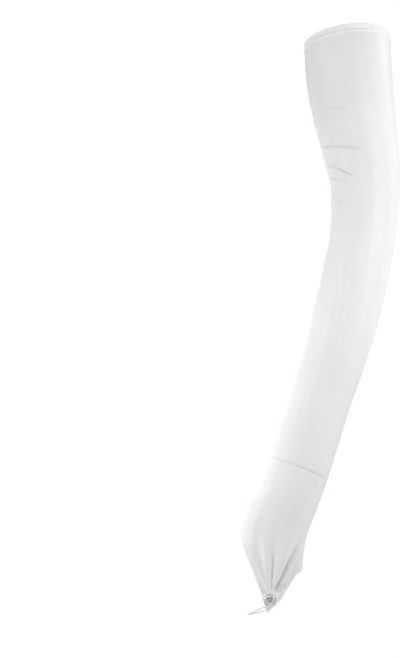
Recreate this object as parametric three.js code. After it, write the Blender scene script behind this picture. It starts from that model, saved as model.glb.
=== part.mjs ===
// A long fingerless evening glove of white stretch satin, for the left hand, in the form it has when worn.
// Millimetres, +Z up. The origin is the middle of the arm opening, and the glove hangs down from it.
// +X is the little-finger side, -X the thumb side, -Y the back of the hand and +Y the palm.
import * as THREE from 'three';

// Run of the glove from the arm opening to the tip of the point
const DROP = 549;
const SIDE_REACH = 82;
const HAND_LEAN = 70;

// Widths of the worn tube, from side to side
const ARM_WIDTH = 83;
const ELBOW_WIDTH = 67;
const FOREARM_WIDTH = 62.5;
const WRIST_WIDTH = 57;
const HAND_WIDTH = 63;

// Depths of the worn tube, from front to back
const ARM_DEPTH = 80;
const ELBOW_DEPTH = 68;
const FOREARM_DEPTH = 58;
const WRIST_DEPTH = 42;
const HAND_DEPTH = 33;

// Cloth, and the clearance between pieces
const CLOTH = 1;
const GAP = 0.3;

// Turned hems of doubled cloth
const TOP_HEM_HEIGHT = 8;
const TOP_HEM_THICKNESS = 2;
const TOP_RIDGE = 0.7;
const TOP_SIDE_RISE = 2.8;
const TOP_FRONT_RISE = 3.5;
const HAND_HEM_WIDTH = 4;
const HAND_HEM_THICKNESS = 1.8;
const HAND_RIDGE = 0.4;

// Creases, soft folds and gathers
const CREASE_DEPTH = 1.6;
const CREASE_WIDTH = 2.6;
const FOLD_HEIGHT = 1.6;
const FOLD_WIDTH = 11;
const GATHER_HEIGHT = 1.4;
const GATHER_WIDTH = 3;
const GATHER_REACH = 62;

// Shares: where along its reach a crease and a gather begin to fade, how narrow a gather is at the point,
// and how far out it has risen
const CREASE_FADE = 0.55;
const GATHER_FADE = 0.45;
const GATHER_TIP = 0.35;
const GATHER_START = 1 / 6;

// Ribbon rosette on the point
const ROSETTE_WIDTH = 16.6;
const BASE_WIDTH = 11;
const BASE_THICKNESS = 1.2;
const OUTER_PETALS = 5;
const INNER_PETALS = 3;
const OUTER_PETAL_HEIGHT = 3.8;
const INNER_PETAL_HEIGHT = 4.8;
const BUD_WIDTH = 2.2;
const BUD_HEIGHT = 5.4;
const RIBBON = 0.9;

// Sideways step from one end of a petal to its middle, so that each petal laps over the next one clear of
// it, and the angle, in radians, by which a petal reaches past its share of the round
const PETAL_LAP = 0.66 * (RIBBON + GAP);
const PETAL_OVERREACH = 0.2;

// Shares: how far the inner petals flare against the outer ones, and how far a petal's ends droop
const INNER_FLARE = 0.8;
const PETAL_DROOP = 0.1;

// Finger loop of thin elastic
const LOOP_WIDTH = 20;
const LOOP_THICKNESS = 1.2;

// How finely the pieces are divided
const COLUMNS = 40;
const PETAL_STEPS = 5;
const BASE_SIDES = 14;
const BUD_SIDES = 10;
const LOOP_STEPS = 36;
const LOOP_SIDES = 6;

// Shares of DROP: the rows follow the slanted rim down to RIM_TO and bend into the lower edge from
// EDGE_FROM, and the columns draw together from DRAWN_FROM
const RIM_TO = 0.14;
const EDGE_FROM = 0.62;
const DRAWN_FROM = 0.6;

// Sections of the worn tube. at is a share of DROP, side of SIDE_REACH towards +X, lean of HAND_LEAN
// towards -Y. full is the exponent of the section's outline: 2 is an ellipse, more is fuller.
const SECTIONS = [
  { at: -0.03, side: -0.01, lean: -0.04, width: 1.01 * ARM_WIDTH, depth: 1.01 * ARM_DEPTH, full: 2.0 },
  { at: 0.0, side: 0.0, lean: 0.0, width: ARM_WIDTH, depth: ARM_DEPTH, full: 2.0 },
  { at: 0.07, side: 0.02, lean: 0.09, width: 0.995 * ARM_WIDTH, depth: 0.98 * ARM_DEPTH, full: 2.0 },
  { at: 0.14, side: 0.075, lean: 0.18, width: 0.94 * ARM_WIDTH, depth: 0.95 * ARM_DEPTH, full: 2.0 },
  { at: 0.2, side: 0.14, lean: 0.25, width: 1.07 * ELBOW_WIDTH, depth: 1.06 * ELBOW_DEPTH, full: 2.0 },
  { at: 0.25, side: 0.187, lean: 0.3, width: ELBOW_WIDTH, depth: ELBOW_DEPTH, full: 2.1 },
  { at: 0.3, side: 0.18, lean: 0.34, width: 0.95 * ELBOW_WIDTH, depth: 0.96 * ELBOW_DEPTH, full: 2.1 },
  { at: 0.36, side: 0.145, lean: 0.39, width: 0.99 * FOREARM_WIDTH, depth: 1.05 * FOREARM_DEPTH, full: 2.1 },
  { at: 0.43, side: 0.05, lean: 0.45, width: FOREARM_WIDTH, depth: FOREARM_DEPTH, full: 2.1 },
  { at: 0.5, side: -0.06, lean: 0.51, width: 0.99 * FOREARM_WIDTH, depth: 0.96 * FOREARM_DEPTH, full: 2.1 },
  { at: 0.57, side: -0.2, lean: 0.58, width: 0.94 * FOREARM_WIDTH, depth: 0.88 * FOREARM_DEPTH, full: 2.1 },
  { at: 0.64, side: -0.36, lean: 0.65, width: WRIST_WIDTH, depth: 1.08 * WRIST_DEPTH, full: 2.2 },
  { at: 0.71, side: -0.51, lean: 0.72, width: WRIST_WIDTH, depth: WRIST_DEPTH, full: 2.2 },
  { at: 0.77, side: -0.64, lean: 0.775, width: 0.99 * WRIST_WIDTH, depth: 0.95 * WRIST_DEPTH, full: 2.2 },
  { at: 0.82, side: -0.775, lean: 0.82, width: 0.91 * HAND_WIDTH, depth: 1.14 * HAND_DEPTH, full: 2.2 },
  { at: 0.86, side: -0.898, lean: 0.86, width: 0.97 * HAND_WIDTH, depth: 1.06 * HAND_DEPTH, full: 2.2 },
  { at: 0.9, side: -0.945, lean: 0.9, width: 0.965 * HAND_WIDTH, depth: HAND_DEPTH, full: 2.2 },
  { at: 0.95, side: -0.975, lean: 0.95, width: 0.975 * HAND_WIDTH, depth: 0.96 * HAND_DEPTH, full: 2.2 },
  { at: 1.0, side: -1.0, lean: 1.0, width: 0.95 * HAND_WIDTH, depth: 0.92 * HAND_DEPTH, full: 2.2 },
];

// The lower edge. turn goes once round from the little-finger side over the back of the hand, at is a
// share of DROP, and hem is the height of the hem there as a multiple of HAND_HEM_WIDTH.
const LOWER_EDGE = [
  { turn: 0.0, at: 0.928, hem: 1.0 },
  { turn: 0.08, at: 0.936, hem: 1.2 },
  { turn: 0.145, at: 0.958, hem: 1.5 },
  { turn: 0.185, at: 0.978, hem: 1.6 },
  { turn: 0.225, at: 0.994, hem: 1.7 },
  { turn: 0.25, at: 1.0, hem: 1.9 },
  { turn: 0.277, at: 0.971, hem: 2.1 },
  { turn: 0.327, at: 0.937, hem: 2.0 },
  { turn: 0.372, at: 0.913, hem: 1.8 },
  { turn: 0.428, at: 0.894, hem: 1.6 },
  { turn: 0.5, at: 0.872, hem: 1.1 },
  { turn: 0.62, at: 0.874, hem: 1.0 },
  { turn: 0.75, at: 0.885, hem: 1.0 },
  { turn: 0.88, at: 0.912, hem: 1.0 },
];

// Rows of the cloth, in shares of DROP: closer together over the creases and the gathers
const ROW_RUNS = [
  { from: 0.0, to: 0.1, steps: 4 },
  { from: 0.1, to: 0.31, steps: 22 },
  { from: 0.31, to: 0.7, steps: 10 },
  { from: 0.7, to: 0.78, steps: 8 },
  { from: 0.78, to: 1.0, steps: 14 },
];

// Thin creases. reach is half the length in turns, slant the drop of the line for each turn, in shares
// of DROP, and depth a share of CREASE_DEPTH.
const CREASES = [
  { at: 0.133, turn: 0.365, reach: 0.08, slant: -0.06, depth: 0.5 },
  { at: 0.199, turn: 0.365, reach: 0.13, slant: -0.13, depth: 1.0 },
  { at: 0.2385, turn: 0.39, reach: 0.1, slant: -0.18, depth: 1.0 },
  { at: 0.257, turn: 0.4, reach: 0.085, slant: -0.17, depth: 0.7 },
  { at: 0.292, turn: 0.43, reach: 0.06, slant: -0.2, depth: 0.6 },
  { at: 0.757, turn: 0.25, reach: 0.27, slant: -0.02, depth: 1.0 },
];

// Soft swells and hollows. wide is a share of FOLD_WIDTH, tall how many times longer than wide, and
// height a share of FOLD_HEIGHT.
const FOLDS = [
  { at: 0.235, turn: 0.34, wide: 1.0, tall: 1.2, height: -1.0 },
  { at: 0.17, turn: 0.43, wide: 1.0, tall: 0.8, height: 0.6 },
  { at: 0.275, turn: 0.45, wide: 0.9, tall: 0.9, height: -0.5 },
  { at: 0.4, turn: 0.3, wide: 0.8, tall: 4.0, height: 0.4 },
  { at: 0.46, turn: 0.4, wide: 0.8, tall: 4.5, height: -0.4 },
  { at: 0.6, turn: 0.2, wide: 0.7, tall: 4.0, height: -0.4 },
  { at: 0.74, turn: 0.25, wide: 1.8, tall: 0.5, height: 0.5 },
];

// Gathers that run out of the point. aim is the angle from straight up, in degrees towards the little
// finger, and wide, height and reach are shares of the gathers' named sizes.
const GATHERS = [
  { aim: -27, wide: 0.8, height: 0.3, reach: 0.35 },
  { aim: -16, wide: 1.0, height: -0.5, reach: 0.55 },
  { aim: -7.5, wide: 0.8, height: 1.0, reach: 1.0 },
  { aim: -2, wide: 0.9, height: -1.0, reach: 0.85 },
  { aim: 8.5, wide: 1.0, height: 0.8, reach: 1.0 },
  { aim: 13, wide: 0.7, height: -0.5, reach: 0.6 },
  { aim: 16.5, wide: 0.8, height: 1.3, reach: 1.15 },
  { aim: 27, wide: 2.2, height: -1.6, reach: 0.8 },
];

// Where the rosette sits, where the gathers meet under it, and where the finger loop is sewn behind it
const ROSETTE_PLACE = { turn: 0.241, at: 0.98 };
const GATHER_PLACE = { turn: 0.236, at: 0.974 };
const LOOP_PLACE = { turn: 0.248, at: 0.99 };

// Outline of the top hem from its lower outer corner up and over. up is a share of TOP_HEM_HEIGHT, rise a
// share of TOP_RIDGE off the plain tube, and deep a share of TOP_HEM_THICKNESS inwards.
const TOP_HEM_OUTLINE = [
  { up: 0.0, rise: 0.2, deep: 0.0 },
  { up: 0.14, rise: 1.0, deep: 0.0 },
  { up: 0.32, rise: 0.1, deep: 0.0 },
  { up: 0.65, rise: 0.5, deep: 0.0 },
  { up: 0.93, rise: 0.3, deep: 0.0 },
  { up: 1.0, rise: 0.0, deep: 0.5 },
  { up: 0.93, rise: 0.0, deep: 1.0 },
  { up: 0.0, rise: 0.0, deep: 1.0 },
];

// Outline of the hand hem from its upper outer corner down and under, in the same columns, with
// HAND_HEM_WIDTH, HAND_RIDGE and HAND_HEM_THICKNESS
const HAND_HEM_OUTLINE = [
  { up: 1.0, rise: 0.1, deep: 0.0 },
  { up: 0.6, rise: 1.0, deep: 0.0 },
  { up: 0.12, rise: 0.6, deep: 0.0 },
  { up: 0.0, rise: 0.0, deep: 0.5 },
  { up: 0.12, rise: 0.0, deep: 1.0 },
  { up: 1.0, rise: 0.0, deep: 1.0 },
];

// A petal's slope from its foot to its brim: out is a share of the flare, up of the height
const PETAL_SLOPE = [
  { out: 0.0, up: 0.0 },
  { out: 0.25, up: 0.45 },
  { out: 0.6, up: 0.85 },
  { out: 1.0, up: 1.0 },
];

// The rolled bud from its foot to its tip: out is a share of half BUD_WIDTH, up of BUD_HEIGHT
const BUD_OUTLINE = [
  { out: 0.0, up: 0.0 },
  { out: 0.8, up: 0.0 },
  { out: 1.0, up: 0.6 },
  { out: 0.8, up: 0.92 },
  { out: 0.0, up: 1.0 },
];

// Route of the finger loop from the point, in shares of LOOP_WIDTH: side towards +X, back towards the
// palm and up
const LOOP_ROUTE = [
  { side: 0.0, back: 0.0, up: 0.0 },
  { side: -0.28, back: 0.04, up: -0.12 },
  { side: -0.62, back: 0.05, up: -0.28 },
  { side: -0.9, back: 0.24, up: -0.44 },
  { side: -0.86, back: 0.62, up: -0.5 },
  { side: -0.48, back: 0.86, up: -0.46 },
  { side: -0.06, back: 0.7, up: -0.34 },
  { side: 0.1, back: 0.3, up: -0.14 },
];

const satin = new THREE.MeshStandardMaterial({ color: 0xf2f3f5, roughness: 0.42, metalness: 0 });
const hemSatin = new THREE.MeshStandardMaterial({ color: 0xf0f1f4, roughness: 0.48, metalness: 0 });
const ribbonSatin = new THREE.MeshStandardMaterial({ color: 0xf6f7fa, roughness: 0.34, metalness: 0 });
const elastic = new THREE.MeshStandardMaterial({ color: 0xe9e7e2, roughness: 0.7, metalness: 0 });

// 0 below low, 1 above high, and a soft step between
function ease(low, high, x) {
  const s = Math.min(1, Math.max(0, (x - low) / (high - low)));
  return s * s * (3 - 2 * s);
}

// The value of a table's column at x, on a smooth curve through its rows
function between(table, key, column, x) {
  const last = table.length - 1;
  let i = 0;
  while (i < last - 1 && x > table[i + 1][key]) {
    i += 1;
  }
  const slope = (k) => {
    const before = table[Math.max(k - 1, 0)];
    const after = table[Math.min(k + 1, last)];
    return (after[column] - before[column]) / (after[key] - before[key]);
  };
  const span = table[i + 1][key] - table[i][key];
  const s = (x - table[i][key]) / span;
  const start = (1 + 2 * s) * (1 - s) * (1 - s) * table[i][column];
  const end = s * s * (3 - 2 * s) * table[i + 1][column];
  const leaving = s * (1 - s) * (1 - s) * span * slope(i);
  const arriving = s * s * (s - 1) * span * slope(i + 1);
  return start + end + leaving + arriving;
}

// The lower edge continued a little past both ends of its turn, so that it closes smoothly
const EDGE_ROUND = [
  ...LOWER_EDGE.slice(-2).map((row) => ({ ...row, turn: row.turn - 1 })),
  ...LOWER_EDGE,
  ...LOWER_EDGE.slice(0, 2).map((row) => ({ ...row, turn: row.turn + 1 })),
];

// Middle of the tube at a share of DROP
function middle(at) {
  const side = SIDE_REACH * between(SECTIONS, 'at', 'side', at);
  const lean = HAND_LEAN * between(SECTIONS, 'at', 'lean', at);
  return new THREE.Vector3(side, -lean, -at * DROP);
}

// The section's own directions: down the tube, across it and out of the back of the hand
function directions(at) {
  const step = 0.01;
  const above = middle(Math.max(0, at - step));
  const below = middle(Math.min(1, at + step));
  const down = below.sub(above).normalize();
  const across = new THREE.Vector3(1, 0, 0).addScaledVector(down, -down.x).normalize();
  const front = new THREE.Vector3().crossVectors(down, across);
  return { down, across, front };
}

// A point of the section's outline, as distances across and to the front
function outline(at, turn) {
  const exponent = 2 / between(SECTIONS, 'at', 'full', at);
  const c = Math.cos(2 * Math.PI * turn);
  const s = Math.sin(2 * Math.PI * turn);
  const halfWidth = between(SECTIONS, 'at', 'width', at) / 2;
  const halfDepth = between(SECTIONS, 'at', 'depth', at) / 2;
  const x = halfWidth * Math.sign(c) * Math.abs(c) ** exponent;
  const y = halfDepth * Math.sign(s) * Math.abs(s) ** exponent;
  return new THREE.Vector2(x, y);
}

// Way round the section, in millimetres
function girth(at) {
  return (Math.PI / 2) * (between(SECTIONS, 'at', 'width', at) + between(SECTIONS, 'at', 'depth', at));
}

// Difference of two turns, from -0.5 to 0.5
function apart(turn, from) {
  const d = turn - from;
  return d - Math.round(d);
}

// How far the creases and soft folds lift the cloth off the plain tube. A crease is a groove with a low
// ridge along each side.
function foldLift(turn, at) {
  let lift = 0;
  for (const crease of CREASES) {
    const aside = apart(turn, crease.turn);
    const off = ((at - crease.at - crease.slant * aside) * DROP) / CREASE_WIDTH;
    const fade = 1 - ease(CREASE_FADE, 1, Math.abs(aside) / crease.reach);
    lift -= crease.depth * CREASE_DEPTH * fade * (1 - 0.5 * off * off) * Math.exp(-0.5 * off * off);
  }
  for (const fold of FOLDS) {
    const x = (apart(turn, fold.turn) * girth(at)) / (fold.wide * FOLD_WIDTH);
    const y = ((at - fold.at) * DROP) / (fold.wide * fold.tall * FOLD_WIDTH);
    lift += fold.height * FOLD_HEIGHT * Math.exp(-(x * x) - y * y);
  }
  return lift;
}

// How far the gathers lift the cloth: ridges and valleys that run out of the point
function gatherLift(turn, at) {
  const x = apart(GATHER_PLACE.turn, turn) * girth(at);
  const y = (GATHER_PLACE.at - at) * DROP;
  const far = Math.hypot(x, y);
  let lift = 0;
  for (const gather of GATHERS) {
    const aim = THREE.MathUtils.degToRad(gather.aim);
    const along = x * Math.sin(aim) + y * Math.cos(aim);
    const off = x * Math.cos(aim) - y * Math.sin(aim);
    const spread = gather.wide * GATHER_WIDTH * (GATHER_TIP + far / GATHER_REACH);
    const fade = 1 - ease(GATHER_FADE, 1, along / (gather.reach * GATHER_REACH));
    const start = ease(0, GATHER_START * GATHER_REACH, along);
    lift += gather.height * GATHER_HEIGHT * start * fade * Math.exp(-((off / spread) ** 2));
  }
  return lift;
}

// A point of the cloth: turn round and at down, lift off the glove's outer face
function clothPoint(turn, at, lift) {
  const { across, front } = directions(at);
  const step = 0.002;
  const here = outline(at, turn);
  const along = outline(at, turn + step).sub(outline(at, turn - step)).normalize();
  const rise = lift + foldLift(turn, at) + gatherLift(turn, at);
  const x = here.x + rise * along.y;
  const y = here.y - rise * along.x;
  return middle(at).addScaledVector(across, x).addScaledVector(front, y);
}

// Columns of the cloth draw together towards the point, as the gathered cloth does
function columnTurn(column, row) {
  const start = column / COLUMNS;
  const aside = apart(start, GATHER_PLACE.turn);
  const quarter = 0.25;
  if (Math.abs(aside) >= quarter) {
    return start;
  }
  const drawn = aside * Math.sqrt(Math.abs(aside) / quarter);
  return start + (drawn - aside) * ease(DRAWN_FROM, 1, row);
}

// How far above the arm opening's middle its rim stands: higher on the back and on the outer side
function rimRise(turn) {
  return TOP_SIDE_RISE * Math.cos(2 * Math.PI * turn) + TOP_FRONT_RISE * Math.sin(2 * Math.PI * turn);
}

// Share of DROP where a row crosses a column: rows lie level between the slanted rim and the lower edge
function rowPlace(turn, row, edge) {
  return row + (edge - 1) * ease(EDGE_FROM, 1, row) - (rimRise(turn) / DROP) * (1 - ease(0, RIM_TO, row));
}

// Lower edge of the cloth at a turn, raised by a number of millimetres at the height of its hem
function edgePlace(turn, raised) {
  const wrapped = turn - Math.floor(turn);
  const stretch = between(EDGE_ROUND, 'turn', 'hem', wrapped);
  return between(EDGE_ROUND, 'turn', 'at', wrapped) - (stretch * raised) / DROP;
}

// Turns a list of corners and faces into a mesh whose faces point out
function solid(name, corners, faces, material) {
  let volume = 0;
  for (const [a, b, c] of faces) {
    volume += corners[a].dot(new THREE.Vector3().crossVectors(corners[b], corners[c]));
  }
  const turned = volume < 0 ? faces.map(([a, b, c]) => [a, c, b]) : faces;
  const geometry = new THREE.BufferGeometry().setFromPoints(corners);
  geometry.setIndex(turned.flat());
  geometry.computeVertexNormals();
  const mesh = new THREE.Mesh(geometry, material);
  mesh.name = name;
  return mesh;
}

// A ring of cloth from a grid of points that closes both ways: rounds[k][j] is outline point k, column j
function ring(name, rounds, material) {
  const around = rounds[0].length;
  const faces = [];
  rounds.forEach((round, k) => {
    const next = (k + 1) % rounds.length;
    round.forEach((point, j) => {
      const a = k * around + j;
      const b = k * around + ((j + 1) % around);
      const c = next * around + j;
      const d = next * around + ((j + 1) % around);
      faces.push([a, b, d], [a, d, c]);
    });
  });
  return solid(name, rounds.flat(), faces, material);
}

// A plate between two grids of the same size, closed round its rim
function plate(name, outer, inner, material) {
  const rows = outer.length;
  const across = outer[0].length;
  const count = rows * across;
  const faces = [];
  for (let i = 0; i + 1 < rows; i += 1) {
    for (let j = 0; j + 1 < across; j += 1) {
      const a = i * across + j;
      const b = a + across;
      faces.push([a, b, b + 1], [a, b + 1, a + 1]);
      faces.push([count + a, count + b + 1, count + b], [count + a, count + a + 1, count + b + 1]);
    }
  }
  const rim = [];
  for (let j = 0; j < across; j += 1) {
    rim.push(j);
  }
  for (let i = 1; i < rows; i += 1) {
    rim.push(i * across + across - 1);
  }
  for (let j = across - 2; j >= 0; j -= 1) {
    rim.push((rows - 1) * across + j);
  }
  for (let i = rows - 2; i > 0; i -= 1) {
    rim.push(i * across);
  }
  rim.forEach((a, k) => {
    const b = rim[(k + 1) % rim.length];
    faces.push([a, b, count + b], [a, count + b, count + a]);
  });
  return solid(name, [...outer.flat(), ...inner.flat()], faces, material);
}

// One round of the cloth's columns
function round(pointAt) {
  return [...Array(COLUMNS).keys()].map(pointAt);
}

// Sleeve: the hollow tube and its pointed end, from below the top hem to above the hand hem
function sleeve() {
  const top = (TOP_HEM_HEIGHT + GAP) / DROP;
  const rows = [top];
  for (const run of ROW_RUNS) {
    for (let i = 1; i <= run.steps; i += 1) {
      rows.push(run.from + ((run.to - run.from) * i) / run.steps);
    }
  }
  const level = (row, lift) => round((column) => {
    const turn = columnTurn(column, row);
    const edge = edgePlace(columnTurn(column, 1), HAND_HEM_WIDTH + GAP);
    return clothPoint(turn, rowPlace(turn, row, edge), lift);
  });
  const outer = rows.map((row) => level(row, 0));
  const inner = rows.map((row) => level(row, -CLOTH)).reverse();
  return ring('sleeve', [...outer, ...inner], satin);
}

// Top hem: the doubled band round the upper arm, with its stitched ridge near the lower edge
function topHem() {
  const rounds = TOP_HEM_OUTLINE.map((corner) => round((column) => {
    const turn = columnTurn(column, 0);
    const row = ((1 - corner.up) * TOP_HEM_HEIGHT) / DROP;
    const lift = corner.rise * TOP_RIDGE - corner.deep * TOP_HEM_THICKNESS;
    return clothPoint(turn, rowPlace(turn, row, 1), lift);
  }));
  return ring('top_hem', rounds, hemSatin);
}

// Hand hem: the narrow turned edge along the point and across the palm
function handHem() {
  const rounds = HAND_HEM_OUTLINE.map((corner) => round((column) => {
    const turn = columnTurn(column, 1);
    const at = edgePlace(turn, corner.up * HAND_HEM_WIDTH);
    const lift = corner.rise * HAND_RIDGE - corner.deep * HAND_HEM_THICKNESS;
    return clothPoint(turn, at, lift);
  }));
  return ring('hand_hem', rounds, hemSatin);
}

// One petal of ribbon: a short curved strip that stands on the rosette's base and flares outwards
function petal(name, { count, foot, flare, height }) {
  const span = (2 * Math.PI) / count + PETAL_OVERREACH;
  const side = (depth) => PETAL_SLOPE.map(({ out, up }) => {
    const points = [];
    for (let i = 0; i <= PETAL_STEPS; i += 1) {
      const share = (2 * i) / PETAL_STEPS - 1;
      const angle = (share * span) / 2;
      const radius = foot + flare * out + PETAL_LAP * share + depth;
      const rise = height * up * (1 - PETAL_DROOP * share * share);
      points.push(new THREE.Vector3(radius * Math.cos(angle), radius * Math.sin(angle), rise));
    }
    return points;
  });
  return plate(name, side(RIBBON / 2), side(-RIBBON / 2), ribbonSatin);
}

// Rosette: a stitched base, two rings of petals and a rolled bud, each ring clear of the one inside it
function rosette() {
  const group = new THREE.Group();
  const base = new THREE.Mesh(
    new THREE.CylinderGeometry(BASE_WIDTH / 2, BASE_WIDTH / 2, BASE_THICKNESS, BASE_SIDES),
    ribbonSatin,
  );
  base.name = 'rosette_base';
  base.rotation.x = Math.PI / 2;
  base.position.z = BASE_THICKNESS / 2;
  group.add(base);

  const innerFoot = BUD_WIDTH / 2 + GAP + RIBBON / 2 + PETAL_LAP;
  const outerFoot = innerFoot + 2 * PETAL_LAP + RIBBON + GAP;
  const flare = ROSETTE_WIDTH / 2 - RIBBON / 2 - PETAL_LAP - outerFoot;
  const rings = [
    {
      ring: 'outer',
      count: OUTER_PETALS,
      foot: outerFoot,
      flare,
      height: OUTER_PETAL_HEIGHT,
    },
    {
      ring: 'inner',
      count: INNER_PETALS,
      foot: innerFoot,
      flare: INNER_FLARE * flare,
      height: INNER_PETAL_HEIGHT,
    },
  ];
  for (const sizes of rings) {
    for (let i = 0; i < sizes.count; i += 1) {
      const mesh = petal(`rosette_${sizes.ring}_petal_${i + 1}`, sizes);
      mesh.rotation.z = (2 * Math.PI * i) / sizes.count;
      mesh.position.z = BASE_THICKNESS + GAP;
      group.add(mesh);
    }
  }

  const budLine = BUD_OUTLINE.map(({ out, up }) => (
    new THREE.Vector2((out * BUD_WIDTH) / 2, up * BUD_HEIGHT)
  ));
  const bud = new THREE.Mesh(new THREE.LatheGeometry(budLine, BUD_SIDES), ribbonSatin);
  bud.name = 'rosette_bud';
  bud.rotation.x = Math.PI / 2;
  bud.position.z = BASE_THICKNESS + GAP;
  group.add(bud);
  return group;
}

// Finger loop: a closed ring of thin elastic that starts and ends behind the point
function fingerLoop() {
  const half = LOOP_THICKNESS / 2;
  const depth = HAND_HEM_THICKNESS + GAP + half;
  const start = clothPoint(LOOP_PLACE.turn, LOOP_PLACE.at, -depth);
  const stops = LOOP_ROUTE.map(({ side, back, up }) => (
    new THREE.Vector3(side, back, up).multiplyScalar(LOOP_WIDTH).add(start)
  ));
  const route = new THREE.CatmullRomCurve3(stops, true);
  const frames = route.computeFrenetFrames(LOOP_STEPS, true);
  const rounds = [];
  for (let i = 0; i < LOOP_STEPS; i += 1) {
    const centre = route.getPointAt(i / LOOP_STEPS);
    const points = [];
    for (let j = 0; j < LOOP_SIDES; j += 1) {
      const angle = (2 * Math.PI * j) / LOOP_SIDES;
      const point = centre.clone().addScaledVector(frames.normals[i], half * Math.cos(angle));
      points.push(point.addScaledVector(frames.binormals[i], half * Math.sin(angle)));
    }
    rounds.push(points);
  }
  return ring('finger_loop', rounds, elastic);
}

const glove = new THREE.Group();
glove.add(sleeve(), topHem(), handHem(), fingerLoop());

const seat = clothPoint(ROSETTE_PLACE.turn, ROSETTE_PLACE.at, HAND_RIDGE + GAP);
const seatFrame = directions(ROSETTE_PLACE.at);
const rosetteGroup = rosette();
rosetteGroup.position.copy(seat);
rosetteGroup.quaternion.setFromRotationMatrix(
  new THREE.Matrix4().makeBasis(seatFrame.across, seatFrame.down.clone().negate(), seatFrame.front),
);
glove.add(rosetteGroup);

export default glove;
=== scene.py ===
# %% [markdown]
# # A fingerless evening glove in Blender
# The real glove is a long tube of white stretch satin, worn from the upper arm to the knuckles. It ends
# in a point on the back of the hand. A ribbon rosette sits on the point, and a loop of elastic behind
# it goes round the middle finger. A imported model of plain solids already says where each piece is, so
# this lesson keeps those places and makes every piece again as cloth, ribbon, thread or cord.

# %% Load the plain model
import math
from math import tau

import bmesh
import bpy
import numpy as np
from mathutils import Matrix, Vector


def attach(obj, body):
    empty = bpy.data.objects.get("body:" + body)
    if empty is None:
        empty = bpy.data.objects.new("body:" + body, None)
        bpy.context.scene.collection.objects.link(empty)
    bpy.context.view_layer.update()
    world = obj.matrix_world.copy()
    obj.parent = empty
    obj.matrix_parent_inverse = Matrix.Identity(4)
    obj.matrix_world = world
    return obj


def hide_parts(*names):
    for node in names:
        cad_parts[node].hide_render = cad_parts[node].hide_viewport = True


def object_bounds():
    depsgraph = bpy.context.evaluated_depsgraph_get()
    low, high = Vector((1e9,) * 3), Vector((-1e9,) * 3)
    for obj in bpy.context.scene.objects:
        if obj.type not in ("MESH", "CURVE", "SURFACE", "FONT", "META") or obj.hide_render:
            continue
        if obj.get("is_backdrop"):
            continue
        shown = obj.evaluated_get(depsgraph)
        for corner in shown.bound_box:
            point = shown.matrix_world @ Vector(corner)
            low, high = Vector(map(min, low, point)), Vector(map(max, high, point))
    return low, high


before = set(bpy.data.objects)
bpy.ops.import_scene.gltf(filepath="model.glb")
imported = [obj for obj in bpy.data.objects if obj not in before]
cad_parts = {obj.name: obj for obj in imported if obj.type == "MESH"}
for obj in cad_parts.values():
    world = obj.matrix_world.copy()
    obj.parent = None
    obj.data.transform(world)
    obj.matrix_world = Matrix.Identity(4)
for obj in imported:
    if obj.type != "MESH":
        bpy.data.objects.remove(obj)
cad_box = [list(corner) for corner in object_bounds()]
print("nodes:", ", ".join(sorted(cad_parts)))
print("size in mm:", [round(1000 * (high - low)) for low, high in zip(*cad_box)])

# %% [markdown]
# ## The camera
# The picture shows the glove straight from the front with almost no perspective, so a long lens stands
# well back, level with the middle of the glove. Blender's camera looks down its own -Z axis. Turned
# up by a right angle it looks along +Y, at the back of the hand. The glove fills the right half of the
# picture, so the camera stands to its left instead of using a lens shift.

# %% Place the camera
def put_in_scene(name, data):
    """A new object with this data, linked to the scene."""
    thing = bpy.data.objects.new(name, data)
    bpy.context.scene.collection.objects.link(thing)
    return thing


camera_data = bpy.data.cameras.new("camera")
camera_data.lens = 100.5
camera_data.clip_end = 30
camera = put_in_scene("camera", camera_data)
camera.location = (-0.14406, -1.8, -0.28322)
camera.rotation_euler = (math.pi / 2, 0, 0)
bpy.context.scene.camera = camera
print("lens", camera_data.lens, "mm, at", tuple(camera.location))

# %% [markdown]
# ## The studio
# White cloth on a white ground only shows by its soft shading. If the room were as bright as the ground
# looks, light would come from everywhere and wash the shading out. So a Light Path node tells the world
# which rays come straight from the camera: those see pure white, and all others see a dimmer room. The
# colours are shown as they are, without a film curve, so that white stays white.

# %% Light the room
def fill(tree, socket, value):
    """Give a socket a number, or link it when the value is another node's output."""
    if isinstance(value, bpy.types.NodeSocket):
        tree.links.new(value, socket)
    else:
        socket.default_value = value


def add_node(tree, kind, **settings):
    """A new node. Names in capitals set its inputs, small names its own settings."""
    node = tree.nodes.new("ShaderNode" + kind)
    for name, value in settings.items():
        if name[0].isupper():
            fill(tree, node.inputs[name.replace("_", " ")], value)
        else:
            setattr(node, name, value)
    return node


bpy.context.scene.view_settings.view_transform = "Standard"
ground_glow, room_glow = 1.05, 0.4
world = bpy.data.worlds.new("white_room")
world.use_nodes = True
sky = world.node_tree
seen = add_node(sky, "LightPath").outputs["Is Camera Ray"]
glow = add_node(sky, "MapRange", Value=seen, To_Min=room_glow, To_Max=ground_glow)
background = sky.nodes["Background"]
background.inputs["Color"].default_value = (1.0, 1.0, 1.0, 1.0)
fill(sky, background.inputs["Strength"], glow.outputs["Result"])
bpy.context.scene.world = world
print("the glove sees a room at", round(100 * room_glow / ground_glow), "% of the ground's brightness")

# %% [markdown]
# ## Soft boxes
# One lamp would leave half of the glove dark. Square soft boxes stand round it instead, and each does
# one thing that the picture shows: the upper arm grows brighter towards the little-finger side, the
# forearm has a bright edge on both sides, and the hand is a little darker than the rest. The low and
# middle boxes stand near, because the light of a near box fades quickly away from it. The back box
# lights the palm side, for a look from behind. Each row gives a box's degrees round the glove, to the
# right of the camera, then its distance, height and power.

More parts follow.
